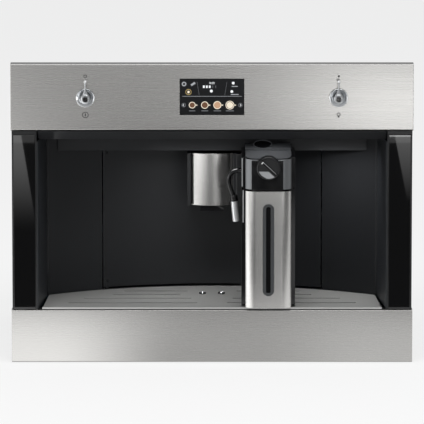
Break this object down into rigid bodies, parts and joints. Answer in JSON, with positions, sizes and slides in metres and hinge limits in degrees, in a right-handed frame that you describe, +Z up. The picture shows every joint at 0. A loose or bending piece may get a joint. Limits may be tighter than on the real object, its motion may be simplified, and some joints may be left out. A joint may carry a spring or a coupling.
{
  "type": "built in coffee machine",
  "caption": "Built-in bean-to-cup coffee machine for a kitchen niche, with steel front, lever switches, display, cup niche, pull-out drip drawer and docked milk jug.",
  "frame": {"origin": "centre of the bounding box's footprint, on the niche floor under the runners", "axes": "+X to the right as seen from the front, +Y to the back of the niche, +Z up"},
  "size_m": [0.597, 0.4142, 0.45],
  "materials": {
    "steel_front": "fine horizontal brushing, fingerprint coating",
    "chrome_trim": "polished",
    "zinc_sheet": "galvanised sheet",
    "black_glass": "polished, black backed",
    "black_plastic": "satin",
    "black_gloss_plastic": "glossy",
    "niche_lining": "dark satin lining",
    "grey_plastic": "satin",
    "silver_plastic": "metallic lacquer",
    "clear_plastic": "clear, smoke tinted",
    "lamp_lens": "frosted",
    "cast_metal": "as cast",
    "circuit_board": "solder resist"
  },
  "bodies": {
    "cabinet_rails": {"rail_outer_left": "zinc_sheet", "rail_outer_right": "zinc_sheet", "rail_crossbar": "zinc_sheet"},
    "middle_rails": {"rail_middle_left": "zinc_sheet", "rail_middle_right": "zinc_sheet"},
    "machine": {"rail_inner_left": "zinc_sheet", "rail_inner_right": "zinc_sheet", "base_pan": "zinc_sheet", "side_panel_left": "zinc_sheet", "side_panel_right": "zinc_sheet", "top_cover": "zinc_sheet", "rear_panel": "zinc_sheet", "inner_shelf": "zinc_sheet", "door_sill": "zinc_sheet", "control_panel": "steel_front", "display_glass": "black_glass", "display_module": "black_plastic", "rosette_left": "chrome_trim", "rosette_right": "chrome_trim", "frame_stile_left": "black_plastic", "frame_stile_right": "black_plastic", "column_glass_left": "black_glass", "column_glass_right": "black_glass", "niche_wall_left": "niche_lining", "niche_wall_right": "niche_lining", "back_wall_left": "niche_lining", "back_wall_right": "niche_lining", "hood_shell": "niche_lining", "hood_lamp": "lamp_lens", "header_panel": "niche_lining", "bean_hopper": "clear_plastic", "grinder": "black_plastic", "brew_unit": "black_plastic", "thermoblock": "cast_metal", "pump": "zinc_sheet", "power_board": "circuit_board", "mains_inlet": "black_plastic"},
    "left_lever": {"lever_left": "chrome_trim"},
    "right_lever": {"lever_right": "chrome_trim"},
    "tray_drawer": {"lower_panel": "steel_front", "drip_basin": "black_plastic", "tray_bearer": "black_plastic", "cup_plate": "steel_front", "grounds_bin": "black_plastic"},
    "door": {"service_door": "niche_lining", "dispensing_block": "black_plastic", "milk_port": "chrome_trim"},
    "coffee_spout": {"spout_cover": "steel_front", "spout_body": "black_plastic"},
    "milk_jug": {"jug_shell": "steel_front", "jug_window": "grey_plastic", "jug_body": "black_plastic", "jug_head": "silver_plastic", "jug_lid": "grey_plastic"},
    "jug_button": {"clean_button": "black_gloss_plastic"},
    "jug_dial": {"froth_dial": "silver_plastic"},
    "milk_outlet": {"milk_spout": "black_gloss_plastic", "milk_nozzle": "chrome_trim"},
    "tank": {"water_tank": "clear_plastic"},
    "hopper_lid": {"bean_lid": "black_plastic"}
  },
  "joints": [
    {"name": "machine_slide", "type": "slide", "parent": "cabinet_rails", "child": "machine", "axis": [0, -1, 0], "range_m": [0, 0.28]},
    {"name": "middle_rail_slide", "type": "slide", "parent": "cabinet_rails", "child": "middle_rails", "axis": [0, -1, 0], "range_m": [0, 0.14]},
    {"name": "left_lever_tilt", "type": "hinge", "parent": "machine", "child": "left_lever", "pos_m": [-0.1876, -0.1812, 0.3998], "axis": [1, 0, 0], "range_deg": [-12, 12], "stiffness_Nm_per_rad": 1.5},
    {"name": "right_lever_tilt", "type": "hinge", "parent": "machine", "child": "right_lever", "pos_m": [0.1876, -0.1812, 0.3998], "axis": [1, 0, 0], "range_deg": [-12, 12], "stiffness_Nm_per_rad": 1.5},
    {"name": "tray_slide", "type": "slide", "parent": "machine", "child": "tray_drawer", "axis": [0, -1, 0], "range_m": [0, 0.24]},
    {"name": "door_swing", "type": "hinge", "parent": "machine", "child": "door", "pos_m": [-0.1595, -0.02511, 0.2], "axis": [0, 0, -1], "range_deg": [0, 90]},
    {"name": "spout_height", "type": "slide", "parent": "door", "child": "coffee_spout", "axis": [0, 0, -1], "range_m": [0, 0.04]},
    {"name": "jug_pull", "type": "slide", "parent": "door", "child": "milk_jug", "axis": [0, -1, 0], "range_m": [0, 0.12]},
    {"name": "clean_press", "type": "slide", "parent": "milk_jug", "child": "jug_button", "axis": [0, 0, -1], "range_m": [0, 0.003], "stiffness_N_per_m": 400, "springref_m": -0.002},
    {"name": "froth_turn", "type": "hinge", "parent": "milk_jug", "child": "jug_dial", "pos_m": [0.0836, -0.1932, 0.297], "axis": [0, 1, 0], "range_deg": [-75, 75]},
    {"name": "milk_spout_swivel", "type": "hinge", "parent": "milk_jug", "child": "milk_outlet", "pos_m": [0.0438, -0.1232, 0.2805], "axis": [1, 0, 0], "range_deg": [-60, 30]},
    {"name": "tank_slide", "type": "slide", "parent": "machine", "child": "tank", "axis": [-1, 0, 0], "range_m": [0, 0.11]},
    {"name": "bean_lid_hinge", "type": "hinge", "parent": "machine", "child": "hopper_lid", "pos_m": [0.13, 0.1758, 0.3833], "axis": [-1, 0, 0], "range_deg": [0, 100]}
  ],
  "couplings": [
    {"joint": "middle_rail_slide", "follows": "machine_slide", "ratio": 0.5}
  ]
}
